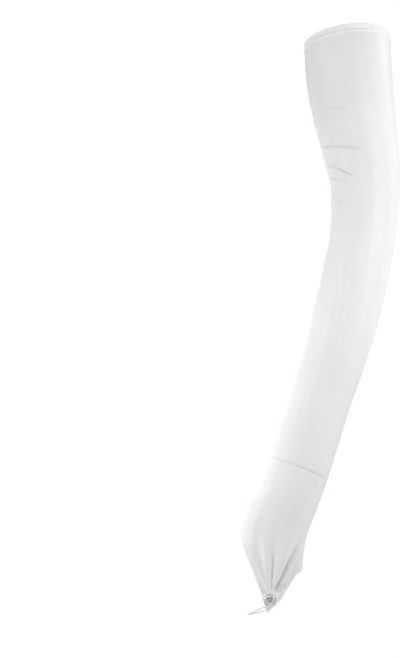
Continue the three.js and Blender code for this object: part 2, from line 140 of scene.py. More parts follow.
# %% Set up the soft boxes
box_size = 0.4
box_spread = math.radians(120)
aim_side, aim_top, aim_foot = -0.02, -0.05, -0.5
soft_boxes = [
    ("high_right_box", 40, 0.8, 0.0, 1.53),
    ("high_left_box", -75, 0.8, 0.45, 1.43),
    ("high_edge_box", 110, 0.8, 0.45, 1.36),
    ("low_left_box", -75, 0.45, -0.35, 0.63),
    ("low_rim_box", -135, 0.45, -0.38, 0.3),
    ("low_right_box", 40, 0.45, -0.35, 0.26),
    ("middle_rim_box", 125, 0.4, -0.2, 0.16),
    ("back_box", 180, 0.8, -0.2, 0.8),
]
for name, degrees, away, height, watts in soft_boxes:
    data = bpy.data.lights.new(name, "AREA")
    data.size, data.spread, data.energy = box_size, box_spread, watts
    light = put_in_scene(name, data)
    bearing = math.radians(degrees)
    light.location = (aim_side + away * math.sin(bearing), -away * math.cos(bearing), height)
    rise = height - min(aim_top, max(aim_foot, height))
    light.rotation_euler = (math.atan2(away, rise), 0, bearing)
print(len(soft_boxes), "soft boxes of", round(1000 * box_size), "mm")

# %% [markdown]
# ## The floor
# The glove hangs in the air, held at the arm, so the floor only closes the room below it. A round
# sheet of pale paper is enough. It bounces light like paper but shows to the camera as white as the
# room, so that no grey line is seen where the floor ends.

# %% Lay the floor
floor_radius, floor_drop = 6.0, 0.06
floor_z = cad_box[0][2] - floor_drop
bpy.ops.mesh.primitive_circle_add(
    vertices=96, radius=floor_radius, fill_type="NGON", location=(0, 0, floor_z)
)
floor = bpy.context.object
floor.name = "floor"
floor_paper = bpy.data.materials.new("floor_paper")
floor_paper.use_nodes = True
paper = floor_paper.node_tree
paper_shader = paper.nodes["Principled BSDF"]
paper_shader.inputs["Base Color"].default_value = (0.8, 0.8, 0.8, 1.0)
paper_shader.inputs["Roughness"].default_value = 0.9
paper_glow = add_node(paper, "Emission", Strength=ground_glow)
seen = add_node(paper, "LightPath").outputs["Is Camera Ray"]
paper_mix = add_node(paper, "MixShader", Fac=seen)
fill(paper, paper_mix.inputs[1], paper_shader.outputs["BSDF"])
fill(paper, paper_mix.inputs[2], paper_glow.outputs["Emission"])
fill(paper, paper.nodes["Material Output"].inputs["Surface"], paper_mix.outputs["Shader"])
floor.data.materials.append(floor_paper)
floor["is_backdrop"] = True
print("floor lies", round(1000 * floor_drop), "mm below the glove")

# %% [markdown]
# ## The form under the glove
# The cloth has the shape of the arm inside it. One way to get it is to model an arm and shrink a tube
# onto it. Here the arm isn't part of the thing, so the tube is worked out directly: a list of sections
# says where the tube's middle lies and how wide and deep it is there. at runs from 0 at the arm
# opening to 1 at the tip of the point. side goes towards the little finger and lean towards the back
# of the hand. The width and the depth are shares of a part's own. full is 2 for an ellipse and more
# for a fuller outline. All lengths are in metres.

# %% Write down the worn tube
drop, side_reach, hand_lean = 0.549, 0.082, 0.070
arm, elbow, forearm = (0.083, 0.080), (0.067, 0.068), (0.0625, 0.058)
wrist, hand = (0.057, 0.042), (0.063, 0.033)
section_rows = [
    (-0.03, -0.01, -0.04, arm, 1.01, 1.01, 2.0),
    (0.0, 0.0, 0.0, arm, 1.0, 1.0, 2.0),
    (0.07, 0.02, 0.09, arm, 0.995, 0.98, 2.0),
    (0.14, 0.075, 0.18, arm, 0.94, 0.95, 2.0),
    (0.2, 0.14, 0.25, elbow, 1.07, 1.06, 2.0),
    (0.25, 0.187, 0.3, elbow, 1.0, 1.0, 2.1),
    (0.3, 0.18, 0.34, elbow, 0.95, 0.96, 2.1),
    (0.36, 0.145, 0.39, forearm, 0.99, 1.05, 2.1),
    (0.43, 0.05, 0.45, forearm, 1.0, 1.0, 2.1),
    (0.5, -0.06, 0.51, forearm, 0.99, 0.96, 2.1),
    (0.57, -0.2, 0.58, forearm, 0.94, 0.88, 2.1),
    (0.64, -0.36, 0.65, wrist, 1.0, 1.08, 2.2),
    (0.71, -0.51, 0.72, wrist, 1.0, 1.0, 2.2),
    (0.77, -0.64, 0.775, wrist, 0.99, 0.95, 2.2),
    (0.82, -0.775, 0.82, hand, 0.91, 1.14, 2.2),
    (0.86, -0.898, 0.86, hand, 0.97, 1.06, 2.2),
    (0.9, -0.945, 0.9, hand, 0.965, 1.0, 2.2),
    (0.95, -0.975, 0.95, hand, 0.975, 0.96, 2.2),
    (1.0, -1.0, 1.0, hand, 0.95, 0.92, 2.2),
]


def table(heads, rows):
    """A table as one array for each head. The first head is the one that the rows are sorted by."""
    names = heads.split()
    found = {name: np.array([row[i] for row in rows], float) for i, name in enumerate(names)}
    found["order"] = found[names[0]]
    return found


sections = table("at side lean width depth full", [
    (at, side, lean, width * part[0], depth * part[1], full)
    for at, side, lean, part, width, depth, full in section_rows
])
print(len(section_rows), "sections")

# %% [markdown]
# ## Reading a table smoothly
# A tube built straight from the sections would show a kink at each one, and a curve through them has
# none. The one used here leaves each row with the slope between its two neighbours, so it never
# swings far away. It takes whole arrays of points at once, which is fast.

# %% Follow a table's column
def follow(rows, head, x):
    """The value of one column at x, on a smooth curve through the table's rows."""
    order, values = rows["order"], rows[head]
    count = len(order)
    before = np.maximum(np.arange(count) - 1, 0)
    after = np.minimum(np.arange(count) + 1, count - 1)
    slopes = (values[after] - values[before]) / (order[after] - order[before])
    x = np.asarray(x, float)
    i = np.searchsorted(order[1:-1], x, side="left")
    span = order[i + 1] - order[i]
    s = (x - order[i]) / span
    start = (1 + 2 * s) * (1 - s) ** 2 * values[i] + s * (1 - s) ** 2 * span * slopes[i]
    end = s * s * (3 - 2 * s) * values[i + 1] + s * s * (s - 1) * span * slopes[i + 1]
    return start + end


def ease(low, high, x):
    """0 below low, 1 above high, and a soft step between."""
    s = np.clip((np.asarray(x, float) - low) / (high - low), 0, 1)
    return s * s * (3 - 2 * s)


print("width at the wrist, mm:", round(1000 * float(follow(sections, "width", 0.7)), 1))

# %% [markdown]
# ## Directions on the tube
# Cloth is placed by how far round and how far down it lies. That needs the middle of the tube at each
# height and three directions there: down the tube, across it, and out of the back of the hand. turn
# goes once round: 0 is the little-finger side, 0.25 the back of the hand, 0.5 the thumb side and 0.75
# the palm.

# %% Find places round the tube
def unit(v):
    """Vectors brought to length 1."""
    return v / np.linalg.norm(v, axis=-1, keepdims=True)


def middle(at):
    """Middle of the tube at a share of its drop."""
    at = np.asarray(at, float)
    side = side_reach * follow(sections, "side", at)
    lean = hand_lean * follow(sections, "lean", at)
    return np.stack([side, -lean, -at * drop], -1)


def directions(at):
    """Down the tube, across it and out of the back of the hand."""
    step = 0.01
    at = np.asarray(at, float)
    down = unit(middle(np.minimum(1, at + step)) - middle(np.maximum(0, at - step)))
    across = unit(np.array([1.0, 0, 0]) - down * down[..., :1])
    return down, across, np.cross(down, across)


def outline(at, turn):
    """A point of the section's outline, as distances across and to the front."""
    bend = 2 / follow(sections, "full", at)
    c, s = np.cos(tau * turn), np.sin(tau * turn)
    x = follow(sections, "width", at) / 2 * np.sign(c) * np.abs(c) ** bend
    y = follow(sections, "depth", at) / 2 * np.sign(s) * np.abs(s) ** bend
    return x, y


def girth(at):
    """Way round the tube."""
    return math.pi / 2 * (follow(sections, "width", at) + follow(sections, "depth", at))


def apart(turn, other):
    """Difference of two turns, from -0.5 to 0.5."""
    d = np.asarray(turn, float) - other
    return d - np.round(d)


print("girth at the elbow, mm:", round(1000 * float(girth(0.25))))

# %% [markdown]
# ## Creases and soft folds
# On the bent inner side of the elbow the cloth is pushed together and makes thin creases, and one
# more runs across the wrist. Cloth simulation could find such creases, but not at the places where
# this glove has them. So each crease is a groove with a low ridge along both sides, laid along a
# slanting line, and each soft fold is a low swell or hollow. reach is half a crease's length in turns,
# slant how far its line drops for each turn, and wide and tall are sizes in metres.

# %% Lay the creases and folds
def named(heads, rows):
    """A list of dicts from rows of values, with one name for each column."""
    return [dict(zip(heads.split(), row)) for row in rows]


crease_fade = 0.55
creases = named("at turn reach slant deep wide", [
    (0.133, 0.365, 0.09, -0.14, 0.0012, 0.0013),
    (0.199, 0.365, 0.12, -0.13, 0.0018, 0.0013),
    (0.2355, 0.395, 0.1, -0.25, 0.0018, 0.0014),
    (0.257, 0.4, 0.08, -0.17, 0.0012, 0.0015),
    (0.292, 0.43, 0.06, -0.2, 0.0012, 0.0013),
    (0.757, 0.25, 0.27, -0.02, 0.0013, 0.0011),
])
folds = named("at turn wide tall high", [
    (0.238, 0.375, 0.014, 0.014, -0.0032),
    (0.17, 0.43, 0.011, 0.0088, 0.00096),
    (0.275, 0.45, 0.0099, 0.0089, -0.0008),
    (0.4, 0.3, 0.0088, 0.0352, 0.00064),
    (0.46, 0.4, 0.0088, 0.0396, -0.00064),
    (0.6, 0.2, 0.0077, 0.0308, -0.00064),
    (0.74, 0.25, 0.0198, 0.0099, 0.0008),
])


def crease_depth(turn, at):
    """How deep the creases are at a place, with the low ridges beside them as negative depths."""
    deep = 0.0
    for crease in creases:
        aside = apart(turn, crease["turn"])
        off = (at - crease["at"] - crease["slant"] * aside) * drop / crease["wide"]
        fade = 1 - ease(crease_fade, 1, np.abs(aside) / crease["reach"])
        fall = 0.5 * off * off
        deep = deep + crease["deep"] * fade * (1 - fall) * np.exp(-fall)
    return deep


def fold_lift(turn, at):
    """How far the creases and soft folds lift the cloth off the plain tube."""
    lift = -crease_depth(turn, at)
    for fold in folds:
        x = apart(turn, fold["turn"]) * girth(at) / fold["wide"]
        y = (at - fold["at"]) * drop / fold["tall"]
        lift = lift + fold["high"] * np.exp(-x * x - y * y)
    return lift


print(len(creases), "creases and", len(folds), "soft folds")

# %% [markdown]
# ## Gathers
# Under the rosette the point of the glove is drawn together, and ridges and valleys run out of it
# like a fan. Each gather is a long low hill that starts at the rosette, grows wider as it leaves and
# fades at its end. aim is its angle from straight up, in degrees towards the little finger. The
# steepest one is pulled tight, and past it the cloth falls away to the hem. The fan stays on the back
# of the hand, where a sine of the turn is large.

# %% Fan out the gathers
gather_turn, gather_at = 0.236, 0.974
gather_width, gather_reach = 0.003, 0.062
gather_tip, gather_fade, gather_start = 0.35, 0.45, 1 / 6
back_gain = 1.5
gathers = named("aim wide high reach", [
    (-33, 1.8, 0.0012, 0.5),
    (-15.5, 1.4, -0.0020, 0.85),
    (-7.7, 0.8, 0.0024, 1.0),
    (-2.3, 0.8, -0.0022, 0.95),
    (6, 0.9, 0.0020, 1.0),
    (10, 0.6, -0.0012, 0.8),
    (14.3, 0.8, 0.0034, 1.15),
    (20, 0.95, -0.0056, 1.2),
    (36, 3.0, -0.0048, 0.9),
])


def gather_lift(turn, at):
    """How far the fan of gathers lifts the cloth."""
    x = apart(gather_turn, turn) * girth(at)
    y = (gather_at - at) * drop
    far = np.hypot(x, y)
    lift = 0.0
    for gather in gathers:
        aim = math.radians(gather["aim"])
        along = x * math.sin(aim) + y * math.cos(aim)
        off = x * math.cos(aim) - y * math.sin(aim)
        spread = gather["wide"] * gather_width * (gather_tip + far / gather_reach)
        fade = 1 - ease(gather_fade, 1, along / (gather["reach"] * gather_reach))
        start = ease(0, gather_start * gather_reach, along)
        lift = lift + gather["high"] * start * fade * np.exp(-((off / spread) ** 2))
    return lift * np.clip(back_gain * np.sin(tau * np.asarray(turn, float)), 0, 1)


print(len(gathers), "gathers, up to", round(1000 * gather_reach), "mm long")

# %% [markdown]
# ## Small wrinkles
# Between its folds, real stretch cloth shows faint long streaks where it is pulled down the arm, and
# a fine crumple inside the elbow. A texture could fake these, but a small lift of the cloth itself
# also shows in the outline. The lift is a sum of waves from a seeded random generator, so each run
# gives the same cloth.

# %% Add small wrinkles
chance = np.random.default_rng(7)
streak_height, crumple_height = 0.00004, 0.00004
crumple_at, crumple_turn = 0.235, 0.42
crumple_long, crumple_round = 0.07, 0.11


def some_waves(count, rounds, downs):
    """Waves with random numbers round the glove and down it, and a random start."""
    return [
        (int(chance.integers(*rounds)), chance.uniform(*downs), chance.uniform(0, tau))
        for _ in range(count)
    ]


def wave_sum(waves, turn, at):
    """All the waves added up at a place."""
    return sum(np.cos(tau * (x * turn + y * at) + start) for x, y, start in waves)


streak_waves = some_waves(14, (5, 22), (1.0, 5.0))
crumple_waves = some_waves(10, (3, 12), (22.5, 60))


def wrinkle_lift(turn, at):
    """Faint streaks down the whole glove, and a fine crumple inside the elbow."""
    x = apart(turn, crumple_turn) / crumple_round
    y = (at - crumple_at) / crumple_long
    crumple = wave_sum(crumple_waves, turn, at) * np.exp(-x * x - y * y)
    return streak_height * wave_sum(streak_waves, turn, at) + crumple_height * crumple


print("streaks of about", round(1e6 * streak_height), "micrometres")

# %% [markdown]
# ## From places to points
# Every cloth piece gets its points from cloth_point. It takes the plain outline, moves out along its
# normal by the asked lift and by all the folds, and gives a point in space. So the sleeve, the hems
# and the stitches follow the same folds and can't drift apart.

# %% Turn places into points
def outward(turn, at):
    """The tube's own outward normal in its section, as distances across and to the front."""
    step = 0.002
    x1, y1 = outline(at, turn + step)
    x0, y0 = outline(at, turn - step)
    run = np.hypot(x1 - x0, y1 - y0)
    return (y1 - y0) / run, -(x1 - x0) / run


def cloth_point(turn, at, lift):
    """A point of the cloth, lifted off the glove's outer face."""
    turn, at, lift = np.broadcast_arrays(*(np.asarray(x, float) for x in (turn, at, lift)))
    down, across, front = directions(at)
    x, y = outline(at, turn)
    nx, ny = outward(turn, at)
    rise = lift + fold_lift(turn, at) + gather_lift(turn, at) + wrinkle_lift(turn, at)
    x, y = x + rise * nx, y + rise * ny
    return middle(at) + across * x[..., None] + front * y[..., None]


def cloth_normal(turn, at):
    """Outward direction of the plain tube at a place."""
    down, across, front = directions(at)
    nx, ny = outward(turn, at)
    return unit(across * np.asarray(nx)[..., None] + front * np.asarray(ny)[..., None])


print("halfway down, the back is at", np.round(1000 * cloth_point(0.25, 0.5, 0.0), 1), "mm")

# %% [markdown]
# ## The edges of the cloth
# The rim of the arm opening is slanted: it stands higher on the outer side and on the back. The lower
# edge runs level across the palm and comes down to a sharp point on the back of the hand. hem is how
# high the hem is there, against its own width, because a hem along a steep edge covers more height.
# The rows of the cloth follow the rim at the top and bend into the edge further down, and its columns
# draw together towards the point.

# %% Write down the edges
top_side_rise, top_front_rise = 0.0028, 0.0035
rim_to, edge_from, drawn_from = 0.14, 0.62, 0.6
edge_rows = [
    (0.0, 0.928, 1.0),
    (0.08, 0.936, 1.2),
    (0.145, 0.958, 1.5),
    (0.185, 0.978, 1.6),
    (0.225, 0.994, 1.7),
    (0.25, 1.0, 1.9),
    (0.277, 0.971, 2.1),
    (0.327, 0.937, 2.0),
    (0.372, 0.913, 1.8),
    (0.428, 0.894, 1.6),
    (0.5, 0.872, 1.1),
    (0.62, 0.874, 1.0),
    (0.75, 0.885, 1.0),
    (0.88, 0.912, 1.0),
]
edge = table("turn at hem", [
    (turn + lap, at, hem) for lap in (-1, 0, 1) for turn, at, hem in edge_rows
])


def rim_rise(turn):
    """How far above the middle of the arm opening its rim stands."""
    return top_side_rise * np.cos(tau * turn) + top_front_rise * np.sin(tau * turn)


def edge_place(turn, raised):
    """Lower edge of the cloth, raised by some metres at the height of its hem."""
    wrapped = turn - np.floor(turn)
    return follow(edge, "at", wrapped) - follow(edge, "hem", wrapped) * raised / drop


def row_place(turn, row, at_edge):
    """Where a row of the cloth crosses a turn."""
    to_edge = (at_edge - 1) * ease(edge_from, 1, row)
    to_rim = rim_rise(turn) / drop * (1 - ease(0, rim_to, row))
    return row + to_edge - to_rim


def drawn_turn(start, row):
    """Turn of a column that starts evenly spaced at the top and draws together towards the point."""
    quarter = 0.25
    aside = apart(start, gather_turn)
    near = np.abs(aside) < quarter
    drawn = aside * np.sqrt(np.abs(aside) / quarter)
    return np.where(near, start + (drawn - aside) * ease(drawn_from, 1, row), start)


point_length = drop * float(edge_place(0.25, 0) - edge_place(0.75, 0))
print("the point is", round(1000 * point_length), "mm longer than the palm")

# %% [markdown]
# ## A grid becomes a mesh
# All cloth pieces are grids of points: rows one way and columns the other. Blender could grow them
# from primitives with modifiers, but a mesh made from the grid keeps its columns, and they give clean
# UV coordinates for the knit. A grid may close on itself one way or both ways.

# %% Make meshes from grids
def mesh_piece(name, corners, faces):
    """A piece with smooth shading from its corners and faces."""
    mesh = bpy.data.meshes.new(name)
    mesh.from_pydata(corners, [], faces)
    mesh.polygons.foreach_set("use_smooth", np.ones(len(mesh.polygons), bool))
    mesh.update()
    return put_in_scene(name, mesh)


def grid_piece(name, points, closed_rows=False, closed_columns=False):
    """A mesh from an array of points [row][column], with UVs that run 0 to 1 along both."""
    rows, columns = points.shape[:2]
    row_steps = rows if closed_rows else rows - 1
    column_steps = columns if closed_columns else columns - 1
    i, j = np.meshgrid(np.arange(row_steps), np.arange(column_steps), indexing="ij")
    i2, j2 = (i + 1) % rows, (j + 1) % columns
    faces = np.stack([i * columns + j, i2 * columns + j, i2 * columns + j2, i * columns + j2], -1)
    piece = mesh_piece(name, points.reshape(-1, 3).tolist(), faces.reshape(-1, 4).tolist())
    u = np.stack([j, j, j + 1, j + 1], -1) / column_steps
    v = np.stack([i, i + 1, i + 1, i], -1) / row_steps
    layer = piece.data.uv_layers.new(name="cloth")
    layer.data.foreach_set("uv", np.stack([u, v], -1).reshape(-1).astype("f"))
    return piece


def report(piece):
    """Print how many triangles a piece has."""
    triangles = sum(len(face.vertices) - 2 for face in piece.data.polygons)
    print(piece.name, "has", triangles, "triangles")


print("grids are ready")

# %% [markdown]
# ## The sleeve
# The sleeve is one sheet that runs a little way under the turned hem at each end. If it stopped where
# the hem begins, a dark slit would show there, which the sewn cloth doesn't have. Its rows lie closer
# together over the creases and the gathers. Spread evenly, they would blur the creases and waste
# faces on the smooth forearm.

# %% Make the sleeve
tuck, top_hem_height, hand_hem_width = 0.0015, 0.008, 0.004
sleeve_columns = 150
row_runs = [
    (0.0, 0.12, 20), (0.12, 0.145, 16), (0.145, 0.185, 16), (0.185, 0.305, 100),
    (0.305, 0.7, 44), (0.7, 0.745, 12), (0.745, 0.802, 46), (0.802, 1.0, 70),
]

rows = [(top_hem_height - tuck) / drop]
for start, end, steps in row_runs:
    spread = [start + (end - start) * k / steps for k in range(1, steps + 1)]
    rows += [row for row in spread if row > rows[-1]]
rows = np.array(rows)[:, None]
starts = np.arange(sleeve_columns)[None, :] / sleeve_columns
turns = drawn_turn(starts, rows)
at_edge = edge_place(drawn_turn(starts, np.array(1.0)), hand_hem_width - tuck)
places = row_place(turns, rows, at_edge)
sleeve = grid_piece("satin_sleeve", cloth_point(turns, places, 0.0), closed_columns=True)
print("sleeve of", len(rows), "rows by", sleeve_columns, "columns")

# %% [markdown]
# ## Thickness
# A sheet with no thickness looks like paper at its rim, and light leaks through it. Blender's Solidify
# modifier gives it a second face on the inner side and closes the rim. It is applied at once, so that
# the mesh holds the real thickness.

# %% Give the sleeve its thickness
solid = sleeve.modifiers.new("thickness", "SOLIDIFY")
solid.thickness = 0.0008
solid.offset = -1
solid.use_even_offset = True
bpy.context.view_layer.objects.active = sleeve
sleeve.select_set(True)
bpy.ops.object.modifier_apply(modifier=solid.name)
sleeve.select_set(False)
report(sleeve)

# %% [markdown]
# ## Round curves
# The outlines of the hems and the route of the finger loop are short lists of points joined by a
# smooth closed curve. Blender's curve objects would do this too, but the hems need its points as
# numbers, to bend it along the cloth. The curve goes through every listed point.

# %% Smooth a closed line
def round_curve(stops, steps):
    """Points of a smooth closed curve through all stops, with some steps from each to the next."""
    stops = np.asarray(stops, float)
    before, after, later = np.roll(stops, 1, 0), np.roll(stops, -1, 0), np.roll(stops, -2, 0)
    found = []
    for s in np.arange(steps) / steps:
        outer = 0.5 * (-s + 2 * s * s - s**3) * before + 0.5 * (-s * s + s**3) * later
        inner = (1 - 2.5 * s * s + 1.5 * s**3) * stops + (0.5 * s + 2 * s * s - 1.5 * s**3) * after
        found.append(outer + inner)
    return np.stack(found, 1).reshape(-1, stops.shape[1])


print("a triangle with five steps a side has", len(round_curve(np.eye(3), 5)), "points")

# %% [markdown]
# ## The top hem
# At the arm opening the satin is turned to the inside and stitched down. From outside this shows as a
# smooth band. At its lower edge the turned-in cloth pushes up a ridge, and just above the ridge the
# stitches pull a narrow groove. A band extruded from one outline shows all three. up is a share of the
# hem's height, and out is how far the cloth lies off the plain tube. Between the stitches the cloth
# puffs up a little.

# %% Turn the top hem
stitch_pitch = 0.0030
top_stitches = round(float(girth(0.0)) / stitch_pitch)
pucker = 0.00012
seam_up, seam_reach, inner_face = 0.35, 0.16, -0.0005
top_hem_outline = [
    (-0.24, 0.0001), (-0.16, 0.0005), (-0.06, 0.0010), (0.06, 0.0014), (0.18, 0.0011), (0.28, 0.0004),
    (0.35, -0.0002), (0.42, -0.0002), (0.56, 0.0003), (0.72, 0.0006), (0.88, 0.0007), (0.97, 0.0004),
    (1.00, -0.0009), (0.97, -0.0018), (0.85, -0.0020), (0.50, -0.0020), (0.32, -0.0019),
    (0.245, -0.0014), (0.235, -0.0004), (0.20, 0.0002), (0.05, 0.0002), (-0.12, 0.0001),
]
hem_columns = 4 * top_stitches
profile = round_curve(top_hem_outline, 2)
up, out = profile[:, :1], profile[:, 1:]
hem_turns = (np.arange(hem_columns) / hem_columns)[None, :]
near_seam = np.exp(-((up - seam_up) / seam_reach) ** 2) * (out > inner_face)
puff = pucker / 2 * (1 - np.cos(tau * top_stitches * hem_turns))
hem_at = row_place(hem_turns, (1 - up) * top_hem_height / drop, 1.0)
hem_points = cloth_point(hem_turns, hem_at, out + near_seam * puff)
top_hem = grid_piece("turned_top_hem", hem_points, closed_rows=True, closed_columns=True)
report(top_hem)

# %% [markdown]
# ## Thread
# Each stitch is a short piece of thread that dives into the cloth at both ends. A texture would do
# from far off, but near by only real thread catches the light. One helper lays a stitch along a few
# points of cloth: a thin tube that is thickest in the middle. All the stitches of a seam go into one
# mesh.

# %% Lay stitches along a line
thread_radius, thin_thread = 0.00019, 0.00016
thread_sides = 6
blunt = 1.02


def rings_round(line, along, up, radius, sides):
    """Rings of points round a line, and the two directions that they lie in."""
    beside = unit(np.cross(along, up))
    above = np.cross(beside, along)
    angle = (np.arange(sides) * tau / sides)[None, :, None]
    ring = np.cos(angle) * beside[:, None] + np.sin(angle) * above[:, None]
    return line[:, None] + radius[:, None, None] * ring, beside, above


def thread_piece(name, lines, normals, radius):
    """One mesh of many stitches. lines and normals are arrays [stitch][point]."""
    corners, faces = [], []
    for line, normal in zip(lines, normals):
        along = unit(np.gradient(line, axis=0))
        thick = radius * np.sqrt(blunt - np.linspace(-1, 1, len(line)) ** 2)
        rings, _, _ = rings_round(line, along, normal, thick, thread_sides)
        first, last = len(corners), len(corners) + (len(line) - 1) * thread_sides
        corners += rings.reshape(-1, 3).tolist()
        for start in range(first, last, thread_sides):
            for s in range(thread_sides):
                a, b = start + s, start + (s + 1) % thread_sides
                faces.append((a, b, b + thread_sides, a + thread_sides))
        faces.append(tuple(range(first, first + thread_sides)))
        faces.append(tuple(reversed(range(last, last + thread_sides))))
    return mesh_piece(name, corners, faces)


def sewn_piece(name, turn, at, lift, radius):
    """Stitches on the cloth from arrays [stitch][point] of places."""
    return thread_piece(name, cloth_point(turn, at, lift), cloth_normal(turn, at), radius)


stitch_length, stitch_sink, stitch_arch = 0.0022, 0.0003, 0.00014
along_stitch = np.linspace(-0.5, 0.5, 7)[None, :]
arched = 1 - (2 * along_stitch) ** 2
stitch_turns = (np.arange(top_stitches) / top_stitches)[:, None]
stitch_turns = stitch_turns + along_stitch * stitch_length / float(girth(0.0))
stitch_at = row_place(stitch_turns, (1 - seam_up) * top_hem_height / drop, 1.0)
stitch_lift = stitch_arch * arched - stitch_sink
top_stitching = sewn_piece("top_hem_stitching", stitch_turns, stitch_at, stitch_lift, thread_radius)
report(top_stitching)

# %% [markdown]
# ## The hand hem
# The lower edge is a narrow hem, turned once and stitched, that runs up both sides of the point and
# across the palm. It is the same idea as the top hem in a smaller size. The outline is laid along the
# edge of the cloth, so that it comes down to the point with it.

# %% Turn the hand hem
hand_hem_outline = [
    (1.20, 0.0001), (1.04, 0.0003), (0.86, 0.0006), (0.68, 0.0006), (0.50, 0.0001), (0.38, 0.0003),
    (0.20, 0.0005), (0.06, 0.0002), (0.00, -0.0006), (0.04, -0.0014), (0.20, -0.0018), (0.42, -0.0018),
    (0.53, -0.0013), (0.55, -0.0004), (0.62, 0.0002), (0.80, 0.0002), (1.05, 0.0001),
]
hand_columns = 420
profile = round_curve(hand_hem_outline, 2)
edge_turns = drawn_turn(np.arange(hand_columns) / hand_columns, 1.0)[None, :]
edge_at = edge_place(edge_turns, profile[:, :1] * hand_hem_width)
hem_points = cloth_point(edge_turns, edge_at, profile[:, 1:])
hand_hem = grid_piece("turned_hand_hem", hem_points, closed_rows=True, closed_columns=True)
report(hand_hem)

# %% [markdown]
# The stitches of this hem have to be evenly spaced along a line that is steep in places. So the line
# is measured first, and each stitch starts where the measured length says.

# %% Stitch the hand hem
seam_share = 0.46
hand_pitch, hand_stitch, hand_arch = 0.0024, 0.0017, 0.0001
fine_turns = np.linspace(0.0, 1.0, 2001)
seam = cloth_point(fine_turns, edge_place(fine_turns, seam_share * hand_hem_width), 0.0)
run = np.concatenate([[0], np.cumsum(np.linalg.norm(np.diff(seam, axis=0), axis=1))])
hand_stitches = round(run[-1] / hand_pitch)
spots = (np.arange(hand_stitches) + 0.5)[:, None] * run[-1] / hand_stitches
spot_turns = np.interp(spots + along_stitch * hand_stitch, run, fine_turns)
spot_at = edge_place(spot_turns, seam_share * hand_hem_width)
hand_lift = hand_arch * arched
hand_stitching = sewn_piece("hand_hem_stitching", spot_turns, spot_at, hand_lift, thin_thread)
print("seam of", round(1000 * run[-1]), "mm,", hand_stitches, "stitches")
report(hand_stitching)

# %% [markdown]
# ## Where the rosette sits
# The rosette is made flat on the table, with its middle at zero and its petals up, and is then turned
# onto the point. That is how the real one is made too, and it keeps the sizes easy to read. seat_frame
# holds the three directions on the glove: across, up the hand, and out of the cloth.

# %% Find the rosette's seat
gap = 0.0003
hand_ridge = 0.0004
rosette_turn, rosette_at = 0.241, 0.98
seat = cloth_point(rosette_turn, rosette_at, hand_ridge + gap)
seat_down, seat_across, seat_front = directions(rosette_at)
seat_frame = np.stack([seat_across, -seat_down, seat_front])


def on_seat(radius, angle, level):
    """Points round the middle of the flat rosette, turned onto the glove."""
    radius, angle, level = np.broadcast_arrays(radius, angle, level)
    return seat + np.stack([radius * np.cos(angle), radius * np.sin(angle), level], -1) @ seat_frame


print("seat at", np.round(1000 * seat, 1), "mm")

# %% [markdown]
# ## The rosette's base
# The petals are sewn to a small disc of doubled ribbon, drawn together in pleats. Only its rim shows
# between the petals. It is turned from one outline, and waves round the disc make the pleats. The
# first and last rings of points shrink to the middle and are joined there.

# %% Pleat the base
base_width, base_thickness = 0.011, 0.0012
base_outline = np.array([
    (0.0, 0.0), (0.5, 0.0), (0.93, 0.05), (1.0, 0.45),
    (0.95, 0.9), (0.7, 1.0), (0.35, 0.95), (0.0, 0.9),
])
pleats, pleat_bulge, pleat_rise = 14, 0.05, 0.12
base_columns = 112
out, up = base_outline.T[:, :, None]
angle = np.arange(base_columns) * tau / base_columns
pleat = out * np.cos(pleats * angle)
radius = out * base_width / 2 * (1 + pleat_bulge * pleat)
level = base_thickness * (up + pleat_rise * (up > 0.5) * pleat)
rosette_base = grid_piece("pleated_base", on_seat(radius, angle, level), closed_columns=True)


def mend(piece, change):
    """Change a piece's mesh with a function, and turn all its faces outwards."""
    work = bmesh.new()
    work.from_mesh(piece.data)
    change(work)
    bmesh.ops.recalc_face_normals(work, faces=work.faces)
    work.to_mesh(piece.data)
    work.free()


mend(rosette_base, lambda work: bmesh.ops.remove_doubles(work, verts=work.verts, dist=1e-6))
report(rosette_base)

# %% [markdown]
# ## Ribbon petals
# Each petal is a short length of satin ribbon, folded along its middle so that the fold makes a soft
# round brim. It stands on the base and flares outwards. A flat strip with thickness would leave a hard
# brim, so here the outline of the fold is worked out: up the outer side, over the brim and down the
# inner side. The ends grow thin, where the real ribbon is tucked in and sewn. Every petal has its own
# waves, again from the seeded generator.

# %% Fold the petals
rosette_width, bud_width = 0.0166, 0.0022
ribbon, ribbon_fold = 0.0009, 0.00062
petal_lap, petal_overreach = 0.66 * (ribbon + gap), 0.2
petal_ends, petal_droop = 0.25, 0.13
petal_slope = table("up out", [(0.0, 0.0), (0.45, 0.25), (0.85, 0.6), (1.0, 0.86)])
petal_waves = [(0.0003, 4.1), (0.00018, 9.3), (0.00018, 6.7)]


def up_and_down(climb):
    """Heights up one side of a fold and down the other, and the side of each."""
    ups = np.concatenate([climb, climb[::-1]])
    return ups[:, None], np.repeat([1.0, -1.0], len(climb))[:, None]


def brim(ups, top, run):
    """Share of a fold's thickness at each height, which makes its brim round."""
    return np.sqrt(np.clip((top - ups) / run, 0, 1))


def strip_piece(name, points):
    """A folded strip of ribbon whose rows go up one side and down the other, closed at its ends."""
    count, columns = points.shape[:2]

    def close_ends(work):
        work.verts.ensure_lookup_table()
        for column in (0, columns - 1):
            for k in range(count // 2 - 1):
                rows = (k, k + 1, count - 2 - k, count - 1 - k)
                corners = [work.verts[row * columns + column] for row in rows]
                work.faces.new(corners).smooth = True

    piece = grid_piece(name, points, closed_rows=True)
    mend(piece, close_ends)
    return piece


